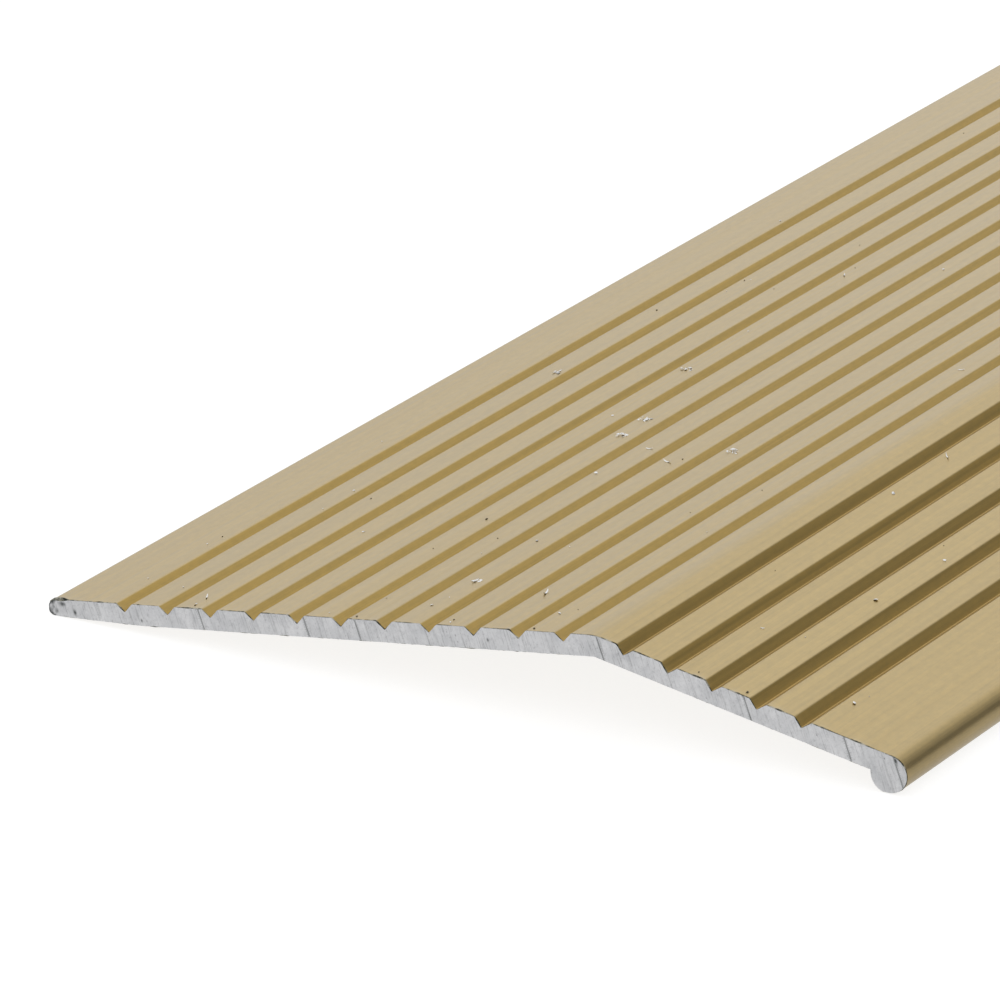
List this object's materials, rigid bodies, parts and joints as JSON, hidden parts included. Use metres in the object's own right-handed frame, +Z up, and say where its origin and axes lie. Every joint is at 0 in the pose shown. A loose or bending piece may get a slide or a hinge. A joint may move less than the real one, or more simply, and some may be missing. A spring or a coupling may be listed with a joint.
{
  "type": "threshold strip",
  "caption": "Fluted metal threshold strip with a long tapered leg, a short leg ending in a round bulb and countersunk screws in two staggered rows.",
  "frame": {"origin": "on the floor plane under the crest line, halfway along the strip", "axes": "+X across the strip from the thin nose to the bulb, +Y along its length, +Z up"},
  "size_m": [0.0508, 0.9144, 0.0266],
  "materials": {
    "anodised_strip": "satin gold anodised on the drawn faces, lengthwise grain",
    "sawn_end": "bare metal, sawn",
    "screw_brass": "brass plated, satin"
  },
  "bodies": {
    "root": {"strip": "anodised_strip", "screw_long_1": "screw_brass", "screw_long_2": "screw_brass", "screw_long_3": "screw_brass", "screw_long_4": "screw_brass", "screw_short_1": "screw_brass", "screw_short_2": "screw_brass", "screw_short_3": "screw_brass", "screw_short_4": "screw_brass", "screw_short_5": "screw_brass"}
  },
  "joints": []
}
